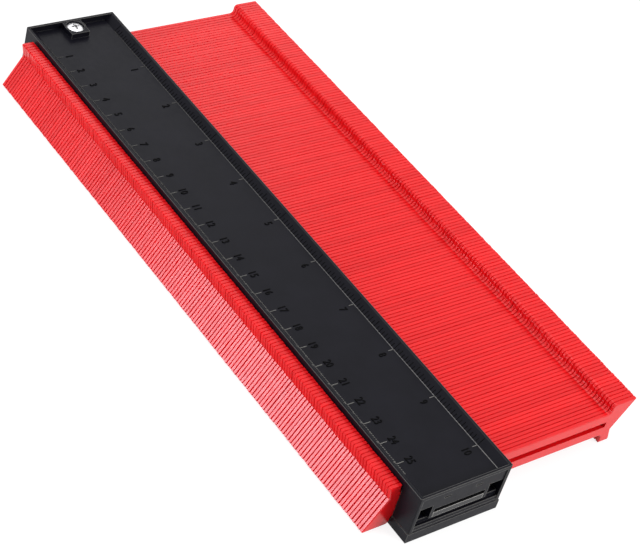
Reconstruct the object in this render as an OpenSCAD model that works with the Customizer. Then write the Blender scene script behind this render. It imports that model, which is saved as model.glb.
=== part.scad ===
// Contour gauge: a pack of thin fins threaded on a flat guide bar and held in a two-part housing.
// Millimetres. X runs along the housing from the screw end to the window end, and Z is up.
// The origin is the centre of the housing's underside. The fins slide along Y.

/* [Fins] */
// Thickness of one fin
fin_t = 1.535; // [1.2:0.005:2.2]
// Side gap between neighbouring fins
fin_gap = 0.05; // [0.04:0.01:0.08]
// Distance that a fin slides through the housing
travel = 58; // [40:1:70]
// Height of a fin between its heads, slot included
bar_h = 11.2; // [10.4:0.1:11.6]
// Height of the long slot that the guide bar runs through
slot_h = 2.6; // [2.2:0.1:3.2]
// Bridge between the slot's end and the head's inner face
slot_inset = 0.4; // [0.2:0.1:1]
// Height of a head
head_h = 19.6; // [17.5:0.1:20.5]
// Width of a head's flat ridge
ridge_w = 5.2; // [4:0.1:6]
// Width of a head at its waist, between the ridge and the wedge
waist_w = 3.4; // [2.8:0.1:3.8]
// Distance of the waist from the top of the ridge
waist_h = 5.2; // [4.6:0.1:7]
// Radius of the hollow at the waist
waist_r = 3; // [2:0.1:5]
// Reach of the wedge tip past the head's inner face
tip_reach = 11.6; // [9.5:0.1:13]
// Blunt edge of the wedge tip
tip_blunt = 0.4; // [0.2:0.1:0.8]
// Radius where a head meets its bars
root_r = 1.6; // [0.6:0.1:1.8]
// Radius of a head's corner above its bars
head_r = 1.2; // [0.4:0.1:1.4]

/* [Housing] */
// Width of the base, across the fins
body_w = 41.3; // [37:0.1:46]
// Height over the rim of the cover
body_h = 22; // [21.5:0.1:25]
// Length of the closed block at the screw end
far_block = 7; // [6.8:0.1:10]
// Length of the closed block at the window end
near_block = 9.5; // [8.5:0.1:14]
// Ledge by which the base stands out past the cover
ledge = 0.15; // [0.1:0.05:0.5]
// Thickness of the cover's side and end walls
wall = 1.6; // [1.2:0.1:1.8]
// Width of the rim round the tray
rim_w = 1; // [0.8:0.1:2]
// Width of the sloping scale band along each side of the tray
scale_w = 3; // [2:0.1:4]
// Depth of the tray below the rim
tray_d = 2.7; // [2:0.1:3]
// Thickness of the base under its slide ribs
floor_t = 2; // [1.6:0.1:2.4]
// Thickness of the tray's floor over the grooves between the slide ribs
deck_t = 1.8; // [1.4:0.1:2.2]
// Radius of the cover's upright edges
corner_r = 0.5; // [0.3:0.1:1.4]
// Width of a slide rib
rib_w = 1.8; // [1.2:0.1:3]
// Distance of the inner slide ribs from the middle
rib_y = 6.5; // [5:0.1:8]

/* [Window end] */
// Depth of the end panel behind the frame round it
panel_in = 0.4; // [0.3:0.1:0.8]
// Height of the frame's rail over the panel
rail_h = 1.4; // [1:0.1:2]
// Thickness of the wall that closes the fin pack
bulkhead_t = 1.6; // [1.2:0.1:2.4]
// Drop of the side windows' tops below the ceiling of the fins' tunnel
window_drop = 0.4; // [0.2:0.1:0.8]
// Drop of the header over the guide bar below the side windows' tops
header_drop = 2.2; // [1.5:0.1:2.6]
// Width of the two uprights beside the guide bar
upright_w = 1.4; // [1.2:0.1:2.5]
// Depth of the guide bar's end behind the end of the cover
bar_in = 0.4; // [0.3:0.1:2]
// Height of the sill that closes the window below
sill_h = 6.8; // [6.6:0.1:7.6]
// Depth of the sill's lower lip behind the end of the cover
sill_in = 0.1; // [0.05:0.05:0.4]
// Step between the sill's two lips
sill_step = 0.2; // [0.1:0.1:0.6]
// Depth of the seat under the guide bar behind the end of the cover
seat_in = 1.4; // [1:0.1:2]
// Distance of the two header slots from the middle
header_slot_y = 7; // [4:0.1:9]
// Length of a header slot
header_slot_w = 3; // [2:0.1:5]
// Height of a header slot
header_slot_h = 0.6; // [0.4:0.1:1]
// Reach of the snap nibs
nib = 0.45; // [0.3:0.05:0.6]
// Length of a snap nib
nib_l = 3; // [2:0.1:4]
// Height of a snap nib
nib_h = 0.8; // [0.6:0.1:1]

/* [Guide bar and screw] */
// Width of the guide bar
guide_w = 22.6; // [20:0.1:23]
// Distance of the screw's axis from the end of the base
screw_in = 4.8; // [4.7:0.1:5]
// Diameter of the screw's shank
screw_d = 3.2; // [2.8:0.1:3.4]
// Chamfer at the screw's end
screw_tip = 0.4; // [0.2:0.1:0.8]
// Diameter of the screw's head
screw_head_d = 7.2; // [6:0.1:7.4]
// Height of the screw's head
screw_head_h = 2.4; // [2:0.1:2.6]
// Radius of the head's dome
dome_r = 8; // [5:0.1:12]
// Length of the cross recess in the head
cross_l = 3.6; // [3:0.1:4.5]
// Width of the cross recess
cross_w = 0.8; // [0.7:0.1:1.2]
// Depth of the cross recess
cross_d = 1.3; // [1:0.1:1.6]
// Outer diameter of the collar round the head
collar_d = 9.1; // [8.8:0.1:9.4]
// Drop of the collar and the boss below the rim
boss_in = 0.2; // [0.1:0.1:1]
// Width of the boss between the collar and the tray
boss_w = 8.5; // [7:0.1:9]
// Length of the boss from the end of the base
boss_l = 9.7; // [9.2:0.1:12]
// Width of the nut across its flats
nut_af = 5.5; // [5:0.1:6]
// Height of the nut
nut_h = 2.8; // [2.4:0.1:2.9]
// Depth of the nut and of the screw's end above the underside
nut_in = 0.5; // [0.3:0.1:0.7]

/* [Fits] */
// Gap between the bars, the guide bar and the housing, above and below
slide_gap = 0.15; // [0.1:0.05:0.25]
// Gap between a head and the housing at the end of the travel
stop_gap = 0.2; // [0.15:0.05:0.5]
// Gap at each end of the fin pack
end_gap = 0.15; // [0.1:0.05:0.3]
// Height of the fins above the surface that the base stands on
floor_gap = 0.1; // [0.05:0.05:0.5]
// Gap between parts that locate each other
fit_gap = 0.1; // [0.05:0.05:0.2]
// Room by which the screw can pull the cover down on the fins
squeeze_gap = 0.3; // [0.2:0.05:0.4]
// Radial clearance of the screw in the cover and in the nut
screw_fit = 0.04; // [0.02:0.01:0.08]
// Gap round the screw in the guide bar and the base, and round its head
hole_gap = 0.2; // [0.15:0.05:0.3]

/* [Hidden] */
$fn = 48;
// Overshoot of a cut past the face that it opens
over = 1;
group_count = 55;
fins_per_group = 3;
fin_count = group_count * fins_per_group;
fin_pitch = fin_t + fin_gap;
stack_l = fin_count * fin_pitch - fin_gap;
body_l = far_block + near_block + stack_l + 2 * end_gap;
far_x = -body_l / 2 + far_block;
near_x = body_l / 2 - near_block;
stack_x = far_x + end_gap;

// Levels of the fins and of the housing round them
fin_z = floor_gap + head_h / 2;
fin_y = travel / 2;
head_y = (body_w + travel) / 2 + stop_gap;
base_top = fin_z - bar_h / 2 - slide_gap;
ceiling = fin_z + bar_h / 2 + slide_gap;
seam_z = base_top + fit_gap;
tray_z = body_h - tray_d;
groove_top = tray_z - deck_t;
mouth_chamfer = root_r + stop_gap;

// Corner of a head's waist in the fin's own Y and Z, and the directions from it to the ridge and to the tip
waist = [head_y + waist_w, waist_h - head_h / 2];
ridge_edge = [head_y + ridge_w, tip_blunt - head_h / 2];
wedge_tip = [head_y + tip_reach, head_h / 2 - tip_blunt];
to_ridge = unit(ridge_edge - waist);
to_tip = unit(wedge_tip - waist);
waist_angle = acos(to_ridge * to_tip) / 2;

// Guide bar and what it lies on
guide_t = slot_h - 2 * slide_gap;
seat_z = fin_z - guide_t / 2;
guide_top = fin_z + guide_t / 2;

// Cover and the blocks of the base that fit inside it
cover_w = body_w - 2 * ledge;
cover_x = body_l / 2 - ledge;
window_w = cover_w - 2 * wall;
block_w = window_w - 2 * fit_gap;
tray_w = cover_w - 2 * rim_w;
window_top = ceiling - window_drop;
header_z = window_top - header_drop;
panel_x = cover_x - panel_in;
nib_x = near_x + (near_block - nib_l) / 2;
nib_z = (seam_z + sill_h) / 2;

// Screw and nut
screw_x = -body_l / 2 + screw_in;
boss_z = body_h - boss_in;
head_seat = boss_z - screw_head_h;
recess_d = screw_head_d + 2 * hole_gap;
loose_hole_d = screw_d + 2 * hole_gap;
nut_top = nut_in + nut_h;

function unit(v) = v / norm(v);

function group_name(g) = str("fin_group_", g < 10 ? "0" : "", g);

// Extrudes an outline drawn in Y and Z from x0 to x1
module along_x(x0, x1) {
    translate([x0, 0, 0])
        rotate([90, 0, 90])
            linear_extrude(x1 - x0)
                children();
}

// Box that is centred on Y, from x0 to x1 and from z0 to z1
module slab(x0, x1, w, z0, z1) {
    translate([x0, -w / 2, z0])
        cube([x1 - x0, w, z1 - z0]);
}

// Boxes at both sides of the middle plane, from y0 to y1
module pair(x0, x1, y0, y1, z0, z1) {
    for (side = [0, 1])
        mirror([0, side, 0])
            translate([x0, y0, z0])
                cube([x1 - x0, y1 - y0, z1 - z0]);
}

// Plan of the cover with rounded upright edges
module rounded_plan(l, w) {
    square([l - 2 * corner_r, w], center = true);
    square([l, w - 2 * corner_r], center = true);
    for (x = [-1, 1], y = [-1, 1])
        translate([x * (l / 2 - corner_r), y * (w / 2 - corner_r)])
            circle(corner_r);
}

// Upright round on the screw's axis
module screw_hole(d, z0, z1) {
    translate([screw_x, 0, z0])
        cylinder(d = d, h = z1 - z0);
}

// Upright hexagon on the screw's axis
module hexagon(flats, h) {
    translate([screw_x, 0, 0])
        rotate([0, 0, 30])
            cylinder(d = flats / cos(30), h = h, $fn = 6);
}

// Grooves that leave slide ribs under or over the fins
module rib_grooves(z0, z1) {
    side = window_w / 2 - rib_w;
    slab(far_x, near_x, 2 * rib_y - rib_w, z0, z1);
    pair(far_x, near_x, rib_y + rib_w / 2, side, z0, z1);
}

// Right half of a fin's outline, from the lower bar round the head to the upper bar
function head_points() = let(b = bar_h / 2, h = head_h / 2, hollow = waist_r / tan(waist_angle)) [
    [head_y - root_r, -b],
    [head_y, -b - root_r],
    [head_y, -h],
    [head_y + ridge_w - tip_blunt, -h],
    ridge_edge,
    waist + to_ridge * hollow,
    waist + to_tip * hollow,
    wedge_tip,
    [head_y + tip_reach - tip_blunt, h],
    [head_y + head_r, h],
    [head_y, h - head_r],
    [head_y, b + root_r],
    [head_y - root_r, b]
];

// Rounds that are cut out of the right half: one above and one below the bars, and one at the waist
module head_hollows() {
    for (side = [-1, 1])
        translate([head_y - root_r, side * (bar_h / 2 + root_r)])
            circle(root_r);
    translate(waist + unit(to_ridge + to_tip) * waist_r / sin(waist_angle))
        circle(waist_r);
}

// Round that fills the chamfered corner of the right head above the bars
module head_corner() {
    translate([head_y + head_r, head_h / 2 - head_r])
        circle(head_r);
}

// A fin looks the same after half a turn, so its left half is the right half turned
module fin() {
    slot_l = 2 * (head_y - slot_inset);
    rotate([90, 0, 90])
        linear_extrude(fin_t)
            difference() {
                union() {
                    polygon(concat(head_points(), [for (p = head_points()) -p]));
                    for (turn = [0, 180])
                        rotate(turn)
                            head_corner();
                }
                square([slot_l, slot_h], center = true);
                for (turn = [0, 180])
                    rotate(turn)
                        head_hollows();
            }
}

// Neighbouring fins that share a node, as separate solids
module fin_group(g) {
    color("crimson")
        for (i = [0 : fins_per_group - 1])
            translate([stack_x + ((g - 1) * fins_per_group + i) * fin_pitch, fin_y, fin_z])
                fin();
}

// Lower half of the housing: a plate with slide ribs and a block at each end for the guide bar
module base_plate() {
    chamfered = [
        [-body_w / 2, 0],
        [body_w / 2, 0],
        [body_w / 2, base_top - mouth_chamfer],
        [body_w / 2 - mouth_chamfer, base_top],
        [-body_w / 2 + mouth_chamfer, base_top],
        [-body_w / 2, base_top - mouth_chamfer]
    ];
    catch_y = window_w / 2 - nib - fit_gap;
    lip_x = cover_x - sill_in;
    color("dimgray")
        difference() {
            union() {
                along_x(far_x, near_x)
                    polygon(chamfered);
                slab(-body_l / 2, far_x, body_w, 0, base_top);
                slab(near_x, body_l / 2, body_w, 0, base_top);
                slab(-cover_x + wall + fit_gap, far_x, block_w, 0, seat_z);
                slab(near_x, lip_x, block_w, 0, (base_top + sill_h) / 2);
                slab(near_x, lip_x - sill_step, block_w, 0, sill_h);
                slab(near_x, cover_x - seat_in, block_w, 0, seat_z);
            }
            rib_grooves(floor_t, base_top + over);
            translate([0, 0, nib_z])
                pair(nib_x - fit_gap, nib_x + nib_l + fit_gap, catch_y, window_w / 2, -nib_h, nib_h);
            screw_hole(loose_hole_d, -over, seat_z + over);
            translate([0, 0, -over])
                hexagon(nut_af + 2 * fit_gap, nut_top + over);
        }
}

// Flat bar through the slots of all fins, clamped at the screw end
module guide_bar() {
    bar_x = -cover_x + wall + 2 * fit_gap;
    color("black")
        difference() {
            slab(bar_x, cover_x - bar_in, guide_w, seat_z, guide_top);
            screw_hole(loose_hole_d, seat_z - over, guide_top + over);
        }
}

// Outline of the cover above the fins, with chamfers along the mouths of the tunnel
module deck_outline() {
    polygon([
        [-cover_w / 2 + mouth_chamfer, ceiling],
        [cover_w / 2 - mouth_chamfer, ceiling],
        [cover_w / 2, ceiling + mouth_chamfer],
        [cover_w / 2, body_h],
        [-cover_w / 2, body_h],
        [-cover_w / 2, ceiling + mouth_chamfer]
    ]);
}

// Outline of the tray with its sloping scale bands
module tray_outline() {
    floor_w = tray_w - 2 * scale_w;
    polygon([
        [-floor_w / 2, tray_z],
        [floor_w / 2, tray_z],
        [tray_w / 2, body_h],
        [tray_w / 2, body_h + over],
        [-tray_w / 2, body_h + over],
        [-tray_w / 2, body_h]
    ]);
}

// Closed end over the base's far block, with room for the guide bar and the squeeze of the screw
module far_hood() {
    inner_x = -cover_x + wall;
    difference() {
        slab(-cover_x, far_x, cover_w, seam_z, ceiling + mouth_chamfer);
        slab(inner_x, far_x + over, window_w, seam_z - over, seat_z + squeeze_gap);
        slab(inner_x, far_x + over, guide_w + 2 * fit_gap, seam_z, guide_top + squeeze_gap);
    }
}

// Open end frame: legs, pack wall, and windows round the uprights that stand on the base's near block
module near_hood() {
    upright_y = guide_w / 2 + fit_gap;
    window_x = near_x + bulkhead_t;
    difference() {
        slab(near_x, cover_x, cover_w, seam_z, ceiling + mouth_chamfer);
        slab(near_x - over, cover_x + over, window_w, seam_z - over, seat_z);
        slab(near_x - over, cover_x + over, 2 * upright_y, seat_z - over, guide_top);
        slab(window_x, cover_x + over, 2 * upright_y, seat_z, header_z);
        pair(window_x, cover_x + over, upright_y + upright_w, window_w / 2, seat_z - over, window_top);
    }
    translate([0, 0, nib_z])
        pair(nib_x, nib_x + nib_l, window_w / 2 - nib, cover_w / 2 - wall / 2, -nib_h / 2, nib_h / 2);
}

// Upper half of the housing, with a tray for the scales and a boss for the screw
module top_cover() {
    boss_x = -body_l / 2 + boss_l;
    slot_z = (window_top + tray_z) / 2;
    slot_end = header_slot_y + header_slot_w / 2;
    color("black")
        difference() {
            intersection() {
                union() {
                    difference() {
                        along_x(-cover_x, cover_x)
                            deck_outline();
                        along_x(-cover_x + rim_w, cover_x - rim_w)
                            tray_outline();
                    }
                    slab(-cover_x, boss_x, boss_w, groove_top, boss_z);
                    screw_hole(collar_d, groove_top, boss_z);
                    far_hood();
                    near_hood();
                }
                linear_extrude(body_h + over)
                    rounded_plan(2 * cover_x, cover_w);
            }
            rib_grooves(ceiling - over, groove_top);
            slab(panel_x, cover_x + over, window_w, seam_z - over, body_h - rail_h);
            translate([0, 0, slot_z])
                pair(cover_x - wall, cover_x + over, slot_end - header_slot_w, slot_end, 0, header_slot_h);
            screw_hole(screw_d + 2 * screw_fit, seat_z, body_h + over);
            screw_hole(recess_d, head_seat, body_h + over);
        }
}

// Pan-head screw with a domed top and a cross recess, standing on the boss of the cover
module clamp_screw() {
    color("silver")
        translate([screw_x, 0, 0])
            difference() {
                rotate_extrude() {
                    polygon([
                        [0, nut_in],
                        [screw_d / 2 - screw_tip, nut_in],
                        [screw_d / 2, nut_in + screw_tip],
                        [screw_d / 2, boss_z - screw_head_h / 2],
                        [0, boss_z - screw_head_h / 2]
                    ]);
                    intersection() {
                        translate([0, head_seat])
                            square([screw_head_d / 2, screw_head_h]);
                        translate([0, boss_z - dome_r])
                            circle(dome_r);
                    }
                }
                for (turn = [0, 90])
                    rotate(turn)
                        translate([-cross_l / 2, -cross_w / 2, boss_z - cross_d])
                            cube([cross_l, cross_w, cross_d]);
            }
}

// Hexagon nut in the pocket under the far end of the base
module clamp_nut() {
    color("silver")
        difference() {
            translate([0, 0, nut_in])
                hexagon(nut_af, nut_h);
            screw_hole(screw_d + 2 * screw_fit, 0, nut_top + over);
        }
}

base_plate();
guide_bar();
top_cover();
clamp_screw();
clamp_nut();
for (g = [1 : group_count])
    fin_group(g);
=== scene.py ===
import math
import bmesh
import bpy
from mathutils import Matrix, Vector


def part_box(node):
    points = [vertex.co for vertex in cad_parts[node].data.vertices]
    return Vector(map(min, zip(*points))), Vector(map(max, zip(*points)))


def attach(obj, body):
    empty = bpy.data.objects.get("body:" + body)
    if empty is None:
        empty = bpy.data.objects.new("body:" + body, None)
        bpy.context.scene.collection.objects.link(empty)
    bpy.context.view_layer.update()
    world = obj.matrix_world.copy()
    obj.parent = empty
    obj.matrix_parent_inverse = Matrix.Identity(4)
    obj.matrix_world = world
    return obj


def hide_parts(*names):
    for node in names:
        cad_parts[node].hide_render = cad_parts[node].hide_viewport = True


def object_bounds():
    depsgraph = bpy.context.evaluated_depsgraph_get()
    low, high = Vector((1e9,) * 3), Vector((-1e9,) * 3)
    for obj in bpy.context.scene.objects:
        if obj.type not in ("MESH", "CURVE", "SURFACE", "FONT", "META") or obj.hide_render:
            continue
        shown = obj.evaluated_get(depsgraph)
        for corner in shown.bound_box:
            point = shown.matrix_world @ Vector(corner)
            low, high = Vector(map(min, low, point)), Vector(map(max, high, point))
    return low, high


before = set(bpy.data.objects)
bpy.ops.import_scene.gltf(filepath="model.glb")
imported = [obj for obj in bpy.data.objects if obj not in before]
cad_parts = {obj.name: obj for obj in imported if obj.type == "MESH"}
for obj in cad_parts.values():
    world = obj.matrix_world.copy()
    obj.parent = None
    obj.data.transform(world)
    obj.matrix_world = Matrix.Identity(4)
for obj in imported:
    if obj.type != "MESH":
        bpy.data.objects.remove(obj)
cad_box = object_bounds()
scene = bpy.context.scene
scene.view_settings.view_transform = "Standard"

# The studio is a white sweep under broad soft lamps, with the long side of the gauge running away
# from the viewer. The camera stands high over the window end and is rolled, as in the product shot.
camera_place = Vector((0.4180, -0.3860, 0.4775))
camera_azimuth = math.radians(44.172)
camera_elevation = math.radians(39.414)
camera_roll = math.radians(17.190)
camera_data = bpy.data.cameras.new("product_camera")
camera_data.sensor_width = 36
camera_data.lens = 108.586
camera_data.clip_start = 0.01
camera = bpy.data.objects.new("product_camera", camera_data)
camera_turn = Matrix.Rotation(camera_azimuth, 4, "Z")
camera_tip = Matrix.Rotation(math.pi / 2 - camera_elevation, 4, "X")
camera_lean = Matrix.Rotation(camera_roll, 4, "Z")
camera.matrix_world = Matrix.Translation(camera_place) @ camera_turn @ camera_tip @ camera_lean
scene.collection.objects.link(camera)
scene.camera = camera


def seen_directly(nodes):
    """1 for rays that show the background itself or its mirror image, 0 for rays that only carry light."""
    path = nodes.new("ShaderNodeLightPath")
    links = nodes.id_data.links
    first = nodes.new("ShaderNodeMath")
    first.operation = "MAXIMUM"
    links.new(path.outputs["Is Camera Ray"], first.inputs[0])
    links.new(path.outputs["Is Glossy Ray"], first.inputs[1])
    second = nodes.new("ShaderNodeMath")
    second.operation = "MAXIMUM"
    links.new(first.outputs[0], second.inputs[0])
    links.new(path.outputs["Is Transmission Ray"], second.inputs[1])
    return second.outputs[0]


world = bpy.data.worlds.new("white_sweep")
world.use_nodes = True
scene.world = world
sky = world.node_tree
sky.nodes.clear()
ambient = sky.nodes.new("ShaderNodeBackground")
ambient.inputs["Color"].default_value = (1.0, 1.0, 1.0, 1.0)
ambient.inputs["Strength"].default_value = 0.38
backdrop = sky.nodes.new("ShaderNodeBackground")
backdrop.inputs["Color"].default_value = (1.0, 1.0, 1.0, 1.0)
backdrop.inputs["Strength"].default_value = 1.0
sky_mix = sky.nodes.new("ShaderNodeMixShader")
sky.links.new(seen_directly(sky.nodes), sky_mix.inputs["Fac"])
sky.links.new(ambient.outputs[0], sky_mix.inputs[1])
sky.links.new(backdrop.outputs[0], sky_mix.inputs[2])
sky_out = sky.nodes.new("ShaderNodeOutputWorld")
sky.links.new(sky_mix.outputs[0], sky_out.inputs["Surface"])

floor_mesh = bpy.data.meshes.new("sweep_floor")
floor_half = 3.0
floor_z = cad_box[0][2] - 0.0002
floor_sides = ((-1, -1), (1, -1), (1, 1), (-1, 1))
floor_corners = [(x * floor_half, y * floor_half, floor_z) for x, y in floor_sides]
floor_mesh.from_pydata(floor_corners, [], [(0, 1, 2, 3)])
sweep_floor = bpy.data.objects.new("sweep_floor", floor_mesh)
scene.collection.objects.link(sweep_floor)
floor_paint = bpy.data.materials.new("sweep_paper")
floor_paint.use_nodes = True
paper = floor_paint.node_tree
paper.nodes.clear()
paper_plain = paper.nodes.new("ShaderNodeBsdfDiffuse")
paper_plain.inputs["Color"].default_value = (0.8, 0.8, 0.8, 1.0)
paper_shade = paper.nodes.new("ShaderNodeBsdfDiffuse")
paper_shade.inputs["Color"].default_value = (0.24, 0.24, 0.24, 1.0)
paper_glow = paper.nodes.new("ShaderNodeEmission")
paper_glow.inputs["Strength"].default_value = 0.84
paper_add = paper.nodes.new("ShaderNodeAddShader")
paper.links.new(paper_shade.outputs[0], paper_add.inputs[0])
paper.links.new(paper_glow.outputs[0], paper_add.inputs[1])
paper_mix = paper.nodes.new("ShaderNodeMixShader")
paper.links.new(seen_directly(paper.nodes), paper_mix.inputs["Fac"])
paper.links.new(paper_plain.outputs[0], paper_mix.inputs[1])
paper.links.new(paper_add.outputs[0], paper_mix.inputs[2])
paper_out = paper.nodes.new("ShaderNodeOutputMaterial")
paper.links.new(paper_mix.outputs[0], paper_out.inputs["Surface"])
floor_mesh.materials.append(floor_paint)
lamp_target = Vector((0.0, 0.03, 0.01))


def soft_lamp(name, place, size, watts, tint):
    """A square soft box that faces the gauge."""
    data = bpy.data.lights.new(name, "AREA")
    data.shape = "SQUARE"
    data.size = size
    data.energy = watts
    data.color = tint
    lamp = bpy.data.objects.new(name, data)
    aim = lamp_target - Vector(place)
    lamp.matrix_world = Matrix.Translation(place) @ aim.to_track_quat("-Z", "Y").to_matrix().to_4x4()
    scene.collection.objects.link(lamp)


soft_lamp("overhead_box", (-0.35, -0.1, 1.5), 1.2, 13.5, (1.0, 1.0, 1.0))
soft_lamp("side_box", (-0.66, -1.45, 0.2), 0.65, 17.0, (0.88, 0.90, 1.0))
soft_lamp("end_box", (1.3, 0.8, 0.8), 0.8, 20.0, (1.0, 0.99, 0.97))
soft_lamp("back_box", (-1.28, 0.81, 0.97), 0.6, 0.8, (1.0, 1.0, 1.0))

# The base plate is the lower half of the housing, an injection-moulded plate of black plastic with a
# stepped sill at the window end. Its faces have a fine satin grain, and its edges carry a paler painted
# highlight.
mould_edge = 0.0003
weld_distance = 1e-7
flat_angle = math.radians(1.0)
crease_angle = math.radians(32)


def moulded(node, skin):
    """The node's solid as one welded mesh, smooth over curved faces and sharp at edges."""
    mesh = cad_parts[node].data.copy()
    mesh.name = node + "_moulded"
    shell = bmesh.new()
    shell.from_mesh(mesh)
    bmesh.ops.remove_doubles(shell, verts=shell.verts, dist=weld_distance)
    bmesh.ops.dissolve_limit(shell, angle_limit=flat_angle, verts=shell.verts, edges=shell.edges)
    bmesh.ops.recalc_face_normals(shell, faces=shell.faces)
    shell.to_mesh(mesh)
    shell.free()
    # The corner normals of the loose triangles don't fit the merged faces.
    if mesh.has_custom_normals:
        mesh.attributes.remove(mesh.attributes["custom_normal"])
    mesh.shade_smooth()
    mesh.set_sharp_from_angle(angle=crease_angle)
    mesh.materials.clear()
    mesh.materials.append(skin)
    piece = bpy.data.objects.new(node + "_moulded", mesh)
    scene.collection.objects.link(piece)
    return piece


def grain(nodes, scale, detail):
    """Noise on object coordinates, in cycles per metre."""
    place = nodes.new("ShaderNodeTexCoord")
    noise = nodes.new("ShaderNodeTexNoise")
    noise.inputs["Scale"].default_value = scale
    noise.inputs["Detail"].default_value = detail
    nodes.id_data.links.new(place.outputs["Object"], noise.inputs["Vector"])
    return noise.outputs["Fac"]


def spread(nodes, value, low, high):
    """Maps a noise value to the range from low to high."""
    scale = nodes.new("ShaderNodeMapRange")
    scale.inputs["From Min"].default_value = 0.3
    scale.inputs["From Max"].default_value = 0.7
    scale.inputs["To Min"].default_value = low
    scale.inputs["To Max"].default_value = high
    nodes.id_data.links.new(value, scale.inputs["Value"])
    return scale.outputs["Result"]


def between(nodes, value, low, high):
    """A colour between low and high that follows a value from 0 to 1."""
    ramp = nodes.new("ShaderNodeValToRGB")
    ramp.color_ramp.elements[0].color = (*low, 1.0)
    ramp.color_ramp.elements[1].color = (*high, 1.0)
    nodes.id_data.links.new(value, ramp.inputs["Fac"])
    return ramp.outputs["Color"]


def cloudy(nodes):
    """A soft cloud pattern from 0 to 1."""
    return spread(nodes, grain(nodes, 90.0, 4.0), 0.0, 1.0)


def satin_black(name, tone, low, high, rough, shine, edge, edge_highlight_tone):
    """Black moulded plastic with a fine grain, its edges rounded and given a painted highlight in a tone of
    their own.
    """
    plastic = bpy.data.materials.new(name)
    plastic.use_nodes = True
    nodes = plastic.node_tree.nodes
    links = plastic.node_tree.links
    skin = nodes["Principled BSDF"]
    skin.inputs["Specular IOR Level"].default_value = shine
    rounded = nodes.new("ShaderNodeBevel")
    rounded.samples = 8
    rounded.inputs["Radius"].default_value = edge
    inside = nodes.new("ShaderNodeAmbientOcclusion")
    inside.inside = True
    inside.only_local = True
    inside.samples = 8
    inside.inputs["Distance"].default_value = edge
    # Painted highlight: where the inside occlusion finds a convex edge, the base colour turns to the paler
    # edge tone.
    edge_highlight_mask = nodes.new("ShaderNodeMapRange")
    edge_highlight_mask.inputs["From Min"].default_value = 0.95
    edge_highlight_mask.inputs["From Max"].default_value = 0.6
    links.new(inside.outputs["AO"], edge_highlight_mask.inputs["Value"])
    edge_highlight_mix = nodes.new("ShaderNodeMix")
    edge_highlight_mix.data_type = "RGBA"
    links.new(edge_highlight_mask.outputs["Result"], edge_highlight_mix.inputs["Factor"])
    links.new(between(nodes, tone(nodes), low, high), edge_highlight_mix.inputs["A"])
    edge_highlight_mix.inputs["B"].default_value = (*edge_highlight_tone, 1.0)
    links.new(edge_highlight_mix.outputs["Result"], skin.inputs["Base Color"])
    links.new(spread(nodes, grain(nodes, 420.0, 3.0), *rough), skin.inputs["Roughness"])
    bump = nodes.new("ShaderNodeBump")
    bump.inputs["Strength"].default_value = 0.12
    bump.inputs["Distance"].default_value = 0.00003
    links.new(grain(nodes, 5200.0, 2.0), bump.inputs["Height"])
    links.new(rounded.outputs["Normal"], bump.inputs["Normal"])
    links.new(bump.outputs["Normal"], skin.inputs["Normal"])
    return plastic


housing_black = satin_black(
    "housing_black", cloudy, low=(0.0038, 0.0037, 0.0066), high=(0.0058, 0.0056, 0.0094),
    rough=(0.3, 0.4), shine=0.107, edge=mould_edge, edge_highlight_tone=(0.10, 0.098, 0.094),
)
base = moulded("base_plate", housing_black)
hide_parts("base_plate")
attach(base, "housing")

# The guide bar is a flat strip of the same black plastic that runs through the slots of all fins and
# keeps them in line. It lies on the end blocks of the base, and its end shows in the window.
# The bar is a lighter copy of the black plastic with a brighter edge tone: a painted highlight on its end in
# the window.
bar_black = satin_black(
    "bar_black", cloudy, low=(0.008, 0.0078, 0.009), high=(0.012, 0.0117, 0.0135),
    rough=(0.24, 0.32), shine=0.3, edge=mould_edge, edge_highlight_tone=(0.36, 0.353, 0.34),
)
bar = moulded("guide_bar", bar_black)
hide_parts("guide_bar")
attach(bar, "housing")

# The fins are thin red plastic plates, all from one mould. Each has a wedge head at both ends, the same
# after half a turn, with two slim bars and a long slot between them, and they slide side by side.
# Their rims are thinned on both faces, by the first size of each edge over a depth of the second.
fin_nodes = sorted(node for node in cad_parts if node.startswith("fin_group_"))
fins_in_group = 3
solid_gap = 0.00005
fin_gap = 0.00007
fin_slack = 0.00009
bar_height = 0.0112
slot_height = 0.0026
slot_bridge = 0.0004
ridge_width = 0.0050
waist_width = 0.0038
waist_height = 0.0058
tip_reach = 0.0116
tip_blunt = 0.0004
root_round = 0.0016
head_round = 0.0014
first_low, first_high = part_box(fin_nodes[0])
fin_pitch = (first_high[0] - first_low[0] + solid_gap) / fins_in_group
fin_thickness = fin_pitch - fin_gap
fin_middle = Vector(((first_low[1] + first_high[1]) / 2, (first_low[2] + first_high[2]) / 2))
head_start = (first_high[1] - first_low[1]) / 2 - tip_reach
half_head = (first_high[2] - first_low[2]) / 2 - fin_slack / 3
wedge_edge = (0.00024, 0.00045)
head_edge = (0.00014, 0.0004)
inner_edge = (0.00018, 0.0004)
bar_edge = (0.00014, 0.0006)


def arc(centre, radius, start, end, steps):
    """Points on a round about a centre, from one angle to another in degrees."""
    angles = [math.radians(start + (end - start) * step / steps) for step in range(steps + 1)]
    return [centre + radius * Vector((math.cos(angle), math.sin(angle))) for angle in angles]


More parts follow.
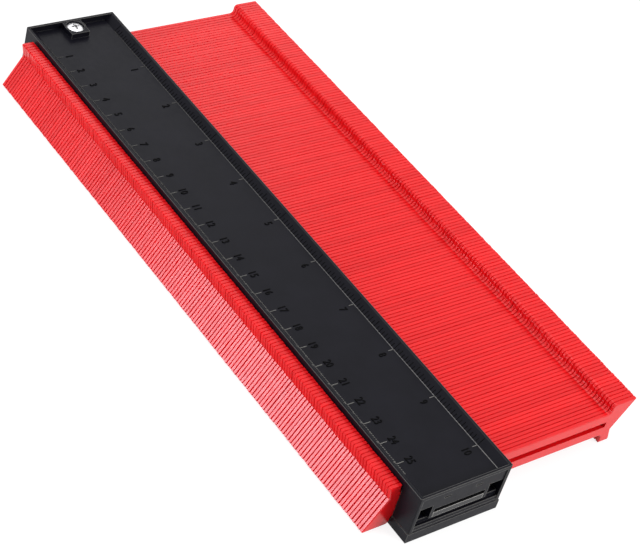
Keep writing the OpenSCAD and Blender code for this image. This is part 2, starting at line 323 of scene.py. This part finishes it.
def head_outline():
    """Points of the right head in Y and Z, from the lower bar to the upper one, each with its rim's edge."""
    half_bar = bar_height / 2
    tip = head_start + tip_reach - fin_slack
    low_root = arc(Vector((head_start - root_round, -half_bar - root_round)), root_round, 90, 0, 3)
    foot = [
        Vector((head_start, -half_head)),
        Vector((head_start + ridge_width - tip_blunt, -half_head)),
        Vector((head_start + ridge_width, tip_blunt - half_head)),
    ]
    wedge = [
        Vector((head_start + waist_width, waist_height - half_head)),
        Vector((tip, half_head - tip_blunt)),
    ]
    top = [Vector((tip - tip_blunt, half_head)), Vector((head_start + head_round, half_head))]
    inner = arc(Vector((head_start + head_round, half_head - head_round)), head_round, 90, 180, 3)[1:]
    high_root = arc(Vector((head_start - root_round, half_bar + root_round)), root_round, 0, -90, 3)
    rims = [
        (low_root[:1], bar_edge),
        (low_root[1:] + foot, head_edge),
        (wedge, wedge_edge),
        (top, head_edge),
        (inner + high_root[:-1], inner_edge),
        (high_root[-1:], bar_edge),
    ]
    return [(point, edge) for points, edge in rims for point in points]


def drawn_in(points, index, amount):
    """A point of a closed outline moved inwards from both of its edges."""
    before, here, after = points[index - 1], points[index], points[(index + 1) % len(points)]
    first = (here - before).normalized()
    second = (after - here).normalized()
    inward = Vector((-first.y - second.y, first.x + second.x))
    return here + inward * amount / (1 + first.dot(second))


def fin_mesh():
    """One fin with its first face at X 0, its rims thinned so that neighbours leave a fine groove."""
    right = head_outline()
    ring = [point for point, _ in right] + [-point for point, _ in right]
    thin = [edge for _, edge in right + right]
    slot_end = head_start - slot_bridge
    slot_sides = ((1, -1), (1, 1), (-1, 1), (-1, -1))
    slot = [Vector((side * slot_end, up * slot_height / 2)) for side, up in slot_sides]
    plate = bmesh.new()

    def loop(places):
        verts = [plate.verts.new((x, *(fin_middle + point))) for x, point in places]
        return verts, [plate.edges.new((verts[i - 1], verts[i])) for i in range(len(verts))]

    inner = [drawn_in(ring, i, thin[i][1]) for i in range(len(ring))]
    rings = [
        loop([(0.0, inner[i]) for i in range(len(ring))]),
        loop([(thin[i][0], ring[i]) for i in range(len(ring))]),
        loop([(fin_thickness - thin[i][0], ring[i]) for i in range(len(ring))]),
        loop([(fin_thickness, inner[i]) for i in range(len(ring))]),
    ]
    slots = [loop([(x, point) for point in slot]) for x in (0.0, fin_thickness)]
    for (verts, _), (beyond, _) in list(zip(rings, rings[1:])) + [tuple(slots)]:
        for i in range(len(verts)):
            plate.faces.new((verts[i - 1], verts[i], beyond[i], beyond[i - 1]))
    for (_, rim), (_, hole) in ((rings[0], slots[0]), (rings[3], slots[1])):
        bmesh.ops.triangle_fill(plate, edges=rim + hole, use_beauty=True)
    bmesh.ops.dissolve_limit(plate, angle_limit=math.radians(0.5), verts=plate.verts, edges=plate.edges)
    bmesh.ops.recalc_face_normals(plate, faces=plate.faces)
    mesh = bpy.data.meshes.new("fin")
    plate.to_mesh(mesh)
    plate.free()
    return mesh


def comb_tree():
    """Geometry nodes that set fins side by side from a first place, each a little loose in its own way."""
    tree = bpy.data.node_groups.new("fin_comb", "GeometryNodeTree")
    face = tree.interface
    face.new_socket("Geometry", in_out="INPUT", socket_type="NodeSocketGeometry")
    face.new_socket("Fins", in_out="INPUT", socket_type="NodeSocketInt")
    face.new_socket("First Place", in_out="INPUT", socket_type="NodeSocketFloat")
    face.new_socket("Pitch", in_out="INPUT", socket_type="NodeSocketFloat")
    face.new_socket("Looseness", in_out="INPUT", socket_type="NodeSocketFloat")
    face.new_socket("Seed", in_out="INPUT", socket_type="NodeSocketInt")
    face.new_socket("Plastic", in_out="INPUT", socket_type="NodeSocketMaterial")
    face.new_socket("Geometry", in_out="OUTPUT", socket_type="NodeSocketGeometry")
    nodes = tree.nodes
    links = tree.links
    given = nodes.new("NodeGroupInput")
    start = nodes.new("ShaderNodeCombineXYZ")
    links.new(given.outputs["First Place"], start.inputs["X"])
    step = nodes.new("ShaderNodeCombineXYZ")
    links.new(given.outputs["Pitch"], step.inputs["X"])
    row = nodes.new("GeometryNodeMeshLine")
    links.new(given.outputs["Fins"], row.inputs["Count"])
    links.new(start.outputs[0], row.inputs["Start Location"])
    links.new(step.outputs[0], row.inputs["Offset"])
    play = nodes.new("FunctionNodeRandomValue")
    play.data_type = "FLOAT_VECTOR"
    play.inputs["Min"].default_value = (-0.35, -1.0, -0.3)
    play.inputs["Max"].default_value = (0.35, 1.0, 0.3)
    links.new(given.outputs["Seed"], play.inputs["Seed"])
    shake = nodes.new("ShaderNodeVectorMath")
    shake.operation = "SCALE"
    links.new(play.outputs["Value"], shake.inputs[0])
    links.new(given.outputs["Looseness"], shake.inputs["Scale"])
    settle = nodes.new("GeometryNodeSetPosition")
    links.new(row.outputs["Mesh"], settle.inputs["Geometry"])
    links.new(shake.outputs["Vector"], settle.inputs["Offset"])
    comb = nodes.new("GeometryNodeInstanceOnPoints")
    links.new(settle.outputs["Geometry"], comb.inputs["Points"])
    links.new(given.outputs["Geometry"], comb.inputs["Instance"])
    shade = nodes.new("FunctionNodeRandomValue")
    shade.data_type = "FLOAT"
    links.new(given.outputs["Seed"], shade.inputs["Seed"])
    keep = nodes.new("GeometryNodeStoreNamedAttribute")
    keep.data_type = "FLOAT"
    keep.domain = "INSTANCE"
    keep.inputs["Name"].default_value = "fin_shade"
    links.new(comb.outputs["Instances"], keep.inputs["Geometry"])
    links.new(shade.outputs[1], keep.inputs["Value"])
    solid = nodes.new("GeometryNodeRealizeInstances")
    links.new(keep.outputs["Geometry"], solid.inputs["Geometry"])
    coat = nodes.new("GeometryNodeSetMaterial")
    links.new(solid.outputs["Geometry"], coat.inputs["Geometry"])
    links.new(given.outputs["Plastic"], coat.inputs["Material"])
    result = nodes.new("NodeGroupOutput")
    links.new(coat.outputs["Geometry"], result.inputs["Geometry"])
    return tree


def tree_input(tree, name):
    """The identifier of a tree's input, which a modifier is set by."""
    return next(s.identifier for s in tree.interface.items_tree if s.name == name and s.in_out == "INPUT")


def grown_mesh(piece, tree, values):
    """Runs a tree on a piece and keeps the result as its plain mesh."""
    growth = piece.modifiers.new("growth", "NODES")
    growth.node_group = tree
    for name, value in values.items():
        growth[tree_input(tree, name)] = value
    bpy.context.view_layer.update()
    finished = bpy.data.meshes.new_from_object(piece.evaluated_get(bpy.context.evaluated_depsgraph_get()))
    piece.modifiers.clear()
    piece.data = finished
    finished.name = piece.name


def fin_plastic():
    """Red styrene with a soft gloss: each fin a shade of its own, faint flow marks along it."""
    plastic = bpy.data.materials.new("fin_red")
    plastic.use_nodes = True
    nodes = plastic.node_tree.nodes
    links = plastic.node_tree.links
    skin = nodes["Principled BSDF"]
    skin.inputs["Specular IOR Level"].default_value = 0.36
    own = nodes.new("ShaderNodeAttribute")
    own.attribute_name = "fin_shade"
    flow = spread(nodes, grain(nodes, 60.0, 3.0), -0.15, 0.15)
    tone = nodes.new("ShaderNodeMath")
    tone.operation = "ADD"
    tone.use_clamp = True
    links.new(own.outputs["Fac"], tone.inputs[0])
    links.new(flow, tone.inputs[1])
    red = between(nodes, tone.outputs[0], (0.70, 0.005, 0.008), (0.80, 0.009, 0.012))
    links.new(red, skin.inputs["Base Color"])
    links.new(spread(nodes, grain(nodes, 300.0, 3.0), 0.2, 0.27), skin.inputs["Roughness"])
    bump = nodes.new("ShaderNodeBump")
    bump.inputs["Strength"].default_value = 0.08
    bump.inputs["Distance"].default_value = 0.00003
    links.new(grain(nodes, 2600.0, 2.0), bump.inputs["Height"])
    links.new(bump.outputs["Normal"], skin.inputs["Normal"])
    return plastic


one_fin = fin_mesh()
fin_red = fin_plastic()
fin_comb = comb_tree()
for number, node in enumerate(fin_nodes, start=1):
    low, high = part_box(node)
    group = bpy.data.objects.new(f"fins_{number:02d}", one_fin)
    scene.collection.objects.link(group)
    grown_mesh(group, fin_comb, {
        "Fins": fins_in_group,
        "First Place": low[0] + (fin_gap - solid_gap) / 2,
        "Pitch": fin_pitch,
        "Looseness": fin_slack,
        "Seed": number,
        "Plastic": fin_red,
    })
    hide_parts(node)
    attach(group, f"fins_{number:02d}")

# The top cover is the upper half of the housing: a black moulded tray with a thin rim, a sloping scale
# band along each side, a boss for the screw at one end and an open frame at the other.
cover = moulded("top_cover", housing_black)
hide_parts("top_cover")
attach(cover, "housing")

# The scales are raised in the mould of the cover: millimetres on one band and sixteenths of an inch on
# the other, over a base line, with longer marks out on the floor of the tray beside plain numbers.
inch = 0.0254
inches = 10
centimetre = 0.01
centimetres = 25
millimetres = 255
rim_width = 0.001
band_width = 0.003
tray_depth = 0.0027
scale_zero = 0.0096
end_rail = 0.003
mark_width = 0.00034
mark_height = 0.00016
mark_sink = 0.00002
mark_edge = 0.00006
inch_lengths = (0.0019, 0.0024, 0.0030, 0.0036)
millimetre_lengths = (0.0012, 0.0012, 0.0020, 0.0030)
inch_floor_length = 0.0024
centimetre_floor_length = 0.0029
number_height = 0.0034
number_squeeze = 0.72
number_edge = 0.014
number_relief = 0.00024
number_line = 0.0109
inch_number_shift = 0.0009
centimetre_number_shift = 0.0004
cover_low, cover_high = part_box("top_cover")
floor_edge = cover_high[1] - rim_width - band_width
tray_floor = cover_high[2] - tray_depth
band_slope = math.atan2(tray_depth, band_width)
first_mark = cad_box[0][0] + scale_zero
inch_edge = Vector((first_mark, floor_edge, tray_floor))
centimetre_edge = Vector((first_mark, -floor_edge, tray_floor))


def paler_to_window(nodes):
    """0 at the screw end of the cover to 1 at the window end, for a painted highlight that grows paler
    towards the window end.
    """
    place = nodes.new("ShaderNodeTexCoord")
    parts = nodes.new("ShaderNodeSeparateXYZ")
    nodes.id_data.links.new(place.outputs["Object"], parts.inputs["Vector"])
    along = nodes.new("ShaderNodeMapRange")
    along.inputs["From Min"].default_value = cover_low[0]
    along.inputs["From Max"].default_value = cover_high[0]
    nodes.id_data.links.new(parts.outputs["X"], along.inputs["Value"])
    return along.outputs["Result"]


# The marks run from near black at the screw end to pale grey at the window end: a painted highlight, with a
# paler edge tone as well.
mark_black = satin_black(
    "mark_black", paler_to_window, low=(0.012, 0.012, 0.012), high=(0.19, 0.186, 0.178),
    rough=(0.3, 0.4), shine=0.15, edge=mark_edge, edge_highlight_tone=(0.12, 0.117, 0.112),
)
# The numbers and the inch marks are a darker copy of the black plastic: painted shade that sets them off
# from the tray floor.
number_shaded_black = satin_black(
    "number_shaded_black", cloudy, low=(0.0012, 0.0012, 0.0014), high=(0.002, 0.002, 0.0023),
    rough=(0.4, 0.5), shine=0.03, edge=mark_edge, edge_highlight_tone=(0.02, 0.02, 0.02),
)


def mark_mesh():
    """A raised mark one unit long in Y, with sloping sides."""
    half, crown = mark_width / 2, mark_width / 4
    low, top = -mark_sink, mark_height
    section = [(-half, low), (half, low), (crown, top), (-crown, top)]
    verts = [(x, y, z) for y in (0.0, 1.0) for x, z in section]
    faces = [(0, 3, 2, 1), (4, 5, 6, 7), (0, 1, 5, 4), (1, 2, 6, 5), (2, 3, 7, 6), (3, 0, 4, 7)]
    mesh = bpy.data.meshes.new("scale_mark")
    mesh.from_pydata(verts, [], faces)
    shell = bmesh.new()
    shell.from_mesh(mesh)
    bmesh.ops.recalc_face_normals(shell, faces=shell.faces)
    shell.to_mesh(mesh)
    shell.free()
    return mesh


def scale_tree():
    """Geometry nodes that set marks along X, longer at each quarter, half and whole number."""
    tree = bpy.data.node_groups.new("scale_marks", "GeometryNodeTree")
    face = tree.interface
    face.new_socket("Geometry", in_out="INPUT", socket_type="NodeSocketGeometry")
    face.new_socket("Marks", in_out="INPUT", socket_type="NodeSocketInt")
    face.new_socket("First Place", in_out="INPUT", socket_type="NodeSocketVector")
    face.new_socket("Pitch", in_out="INPUT", socket_type="NodeSocketFloat")
    face.new_socket("Slope", in_out="INPUT", socket_type="NodeSocketFloat")
    face.new_socket("Turn", in_out="INPUT", socket_type="NodeSocketFloat")
    for size in ("Short", "Quarter", "Half", "Whole"):
        face.new_socket(size + " Length", in_out="INPUT", socket_type="NodeSocketFloat")
    for size in ("Quarter", "Half", "Whole"):
        face.new_socket(size + " Every", in_out="INPUT", socket_type="NodeSocketInt")
    face.new_socket("Plastic", in_out="INPUT", socket_type="NodeSocketMaterial")
    face.new_socket("Geometry", in_out="OUTPUT", socket_type="NodeSocketGeometry")
    nodes = tree.nodes
    links = tree.links
    given = nodes.new("NodeGroupInput")
    step = nodes.new("ShaderNodeCombineXYZ")
    links.new(given.outputs["Pitch"], step.inputs["X"])
    row = nodes.new("GeometryNodeMeshLine")
    links.new(given.outputs["Marks"], row.inputs["Count"])
    links.new(given.outputs["First Place"], row.inputs["Start Location"])
    links.new(step.outputs[0], row.inputs["Offset"])
    index = nodes.new("GeometryNodeInputIndex")
    length = given.outputs["Short Length"]
    for size in ("Quarter", "Half", "Whole"):
        rest = nodes.new("ShaderNodeMath")
        rest.operation = "MODULO"
        links.new(index.outputs[0], rest.inputs[0])
        links.new(given.outputs[size + " Every"], rest.inputs[1])
        due = nodes.new("ShaderNodeMath")
        due.operation = "LESS_THAN"
        due.inputs[1].default_value = 0.5
        links.new(rest.outputs[0], due.inputs[0])
        choice = nodes.new("ShaderNodeMix")
        links.new(due.outputs[0], choice.inputs["Factor"])
        links.new(length, choice.inputs["A"])
        links.new(given.outputs[size + " Length"], choice.inputs["B"])
        length = choice.outputs["Result"]
    stretch = nodes.new("ShaderNodeCombineXYZ")
    stretch.inputs["X"].default_value = 1.0
    stretch.inputs["Z"].default_value = 1.0
    links.new(length, stretch.inputs["Y"])
    tilt = nodes.new("ShaderNodeCombineXYZ")
    links.new(given.outputs["Slope"], tilt.inputs["X"])
    links.new(given.outputs["Turn"], tilt.inputs["Z"])
    marks = nodes.new("GeometryNodeInstanceOnPoints")
    links.new(row.outputs["Mesh"], marks.inputs["Points"])
    links.new(given.outputs["Geometry"], marks.inputs["Instance"])
    links.new(tilt.outputs[0], marks.inputs["Rotation"])
    links.new(stretch.outputs[0], marks.inputs["Scale"])
    solid = nodes.new("GeometryNodeRealizeInstances")
    links.new(marks.outputs["Instances"], solid.inputs["Geometry"])
    coat = nodes.new("GeometryNodeSetMaterial")
    links.new(solid.outputs["Geometry"], coat.inputs["Geometry"])
    links.new(given.outputs["Plastic"], coat.inputs["Material"])
    result = nodes.new("NodeGroupOutput")
    links.new(coat.outputs["Geometry"], result.inputs["Geometry"])
    return tree


one_mark = mark_mesh()
scale_marks = scale_tree()


def scale_row(name, skin, count, pitch, place, slope, turn, lengths, every):
    """One row of marks along the cover, as a piece of its own on the housing."""
    row = bpy.data.objects.new(name, one_mark)
    scene.collection.objects.link(row)
    values = {"Marks": count, "First Place": place, "Pitch": pitch}
    values |= {"Slope": slope, "Turn": turn, "Plastic": skin}
    for size, length in zip(("Short", "Quarter", "Half", "Whole"), lengths):
        values[size + " Length"] = length
    for size, number in zip(("Quarter", "Half", "Whole"), every):
        values[size + " Every"] = number
    grown_mesh(row, scale_marks, values)
    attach(row, "housing")


def number_mesh(text, middle):
    """A number as a low raised relief, upright towards +Y, with its middle at a place on the floor."""
    words = bpy.data.curves.new("number", "FONT")
    words.body = text
    words.align_x = "CENTER"
    words.resolution_u = 3
    words.extrude = number_edge
    words.bevel_depth = number_edge
    words.bevel_resolution = 0
    holder = bpy.data.objects.new("number", words)
    scene.collection.objects.link(holder)
    bpy.context.view_layer.update()
    mesh = bpy.data.meshes.new_from_object(holder.evaluated_get(bpy.context.evaluated_depsgraph_get()))
    bpy.data.objects.remove(holder)
    low = min(vert.co.y for vert in mesh.vertices)
    high = max(vert.co.y for vert in mesh.vertices)
    size = number_height / (high - low)
    shift = Matrix.Translation((0.0, -(low + high) / 2, 0.0))
    thickness = (number_relief + mark_sink) / (2 * number_edge)
    grow = Matrix.Diagonal((size * number_squeeze, size, thickness, 1.0))
    mesh.transform(Matrix.Translation(middle) @ grow @ shift)
    return mesh


def scale_numbers(name, last, pitch, across, shift):
    """The numbers of one scale, joined in one piece on the housing."""
    joined = bmesh.new()
    for number in range(1, last + 1):
        along = first_mark + number * pitch + shift
        part = number_mesh(str(number), Vector((along, across, tray_floor - mark_sink)))
        joined.from_mesh(part)
        bpy.data.meshes.remove(part)
    bmesh.ops.remove_doubles(joined, verts=joined.verts, dist=weld_distance)
    mesh = bpy.data.meshes.new(name)
    joined.to_mesh(mesh)
    joined.free()
    mesh.materials.append(number_shaded_black)
    row = bpy.data.objects.new(name, mesh)
    scene.collection.objects.link(row)
    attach(row, "housing")


scale_row("inch_marks", number_shaded_black, inches * 16 + 1, inch / 16, inch_edge, band_slope, 0.0,
          inch_lengths, (2, 8, 16))
scale_row("millimetre_marks", mark_black, millimetres + 1, centimetre / 10, centimetre_edge, band_slope,
          math.pi, millimetre_lengths, (5, 5, 10))
scale_row("inch_floor_marks", mark_black, inches, inch, inch_edge + Vector((inch, 0.0, 0.0)), 0.0, math.pi,
          (inch_floor_length,) * 4, (1, 1, 1))
scale_row("centimetre_floor_marks", mark_black, centimetres, centimetre,
          centimetre_edge + Vector((centimetre, 0.0, 0.0)), 0.0, 0.0,
          (centimetre_floor_length,) * 4, (1, 1, 1))
scale_row("inch_base_line", mark_black, 1, 0.0, inch_edge, 0.0, -math.pi / 2,
          (cad_box[1][0] - end_rail - first_mark,) * 4, (1, 1, 1))
scale_numbers("inch_numbers", inches, inch, number_line, inch_number_shift)
scale_numbers("centimetre_numbers", centimetres, centimetre, -number_line, centimetre_number_shift)

# The clamp screw is a bright zinc-plated pan-head screw with a cross recess. It draws the cover down on
# the fins, and its nut sits in a pocket under the base.
recess_reach = 0.0016


def zinc_plate(centre, recess_shade_reach):
    """Bright zinc with a slight haze, darker round the screw's axis: painted shade in the recess, with some
    grime.
    """
    metal = bpy.data.materials.new("zinc_bright")
    metal.use_nodes = True
    nodes = metal.node_tree.nodes
    links = metal.node_tree.links
    skin = nodes["Principled BSDF"]
    skin.inputs["Metallic"].default_value = 1.0
    place = nodes.new("ShaderNodeTexCoord")
    centred = nodes.new("ShaderNodeMapping")
    centred.inputs["Location"].default_value = (-centre.x, -centre.y, 0.0)
    links.new(place.outputs["Object"], centred.inputs["Vector"])
    level = nodes.new("ShaderNodeVectorMath")
    level.operation = "MULTIPLY"
    level.inputs[1].default_value = (1.0, 1.0, 0.0)
    links.new(centred.outputs["Vector"], level.inputs[0])
    away = nodes.new("ShaderNodeVectorMath")
    away.operation = "LENGTH"
    links.new(level.outputs["Vector"], away.inputs[0])
    # Painted shade with grime: the plating darkens within the recess round the axis.
    unshaded = nodes.new("ShaderNodeMapRange")
    unshaded.inputs["From Min"].default_value = recess_shade_reach / 3
    unshaded.inputs["From Max"].default_value = recess_shade_reach
    links.new(away.outputs["Value"], unshaded.inputs["Value"])
    haze = spread(nodes, grain(nodes, 700.0, 3.0), 0.0, 1.0)
    plated = nodes.new("ShaderNodeMix")
    plated.data_type = "RGBA"
    links.new(unshaded.outputs["Result"], plated.inputs["Factor"])
    links.new(between(nodes, haze, (0.12, 0.117, 0.113), (0.6, 0.59, 0.58)), plated.inputs["A"])
    links.new(between(nodes, haze, (0.86, 0.86, 0.87), (0.95, 0.95, 0.96)), plated.inputs["B"])
    links.new(plated.outputs["Result"], skin.inputs["Base Color"])
    links.new(spread(nodes, grain(nodes, 1500.0, 3.0), 0.3, 0.42), skin.inputs["Roughness"])
    return metal


screw_low, screw_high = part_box("clamp_screw")
zinc_bright = zinc_plate((Vector(screw_low) + Vector(screw_high)) / 2, recess_reach)
for node, body in (("clamp_screw", "screw"), ("clamp_nut", "housing")):
    piece = moulded(node, zinc_bright)
    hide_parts(node)
    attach(piece, body)

bpy.context.view_layer.update()
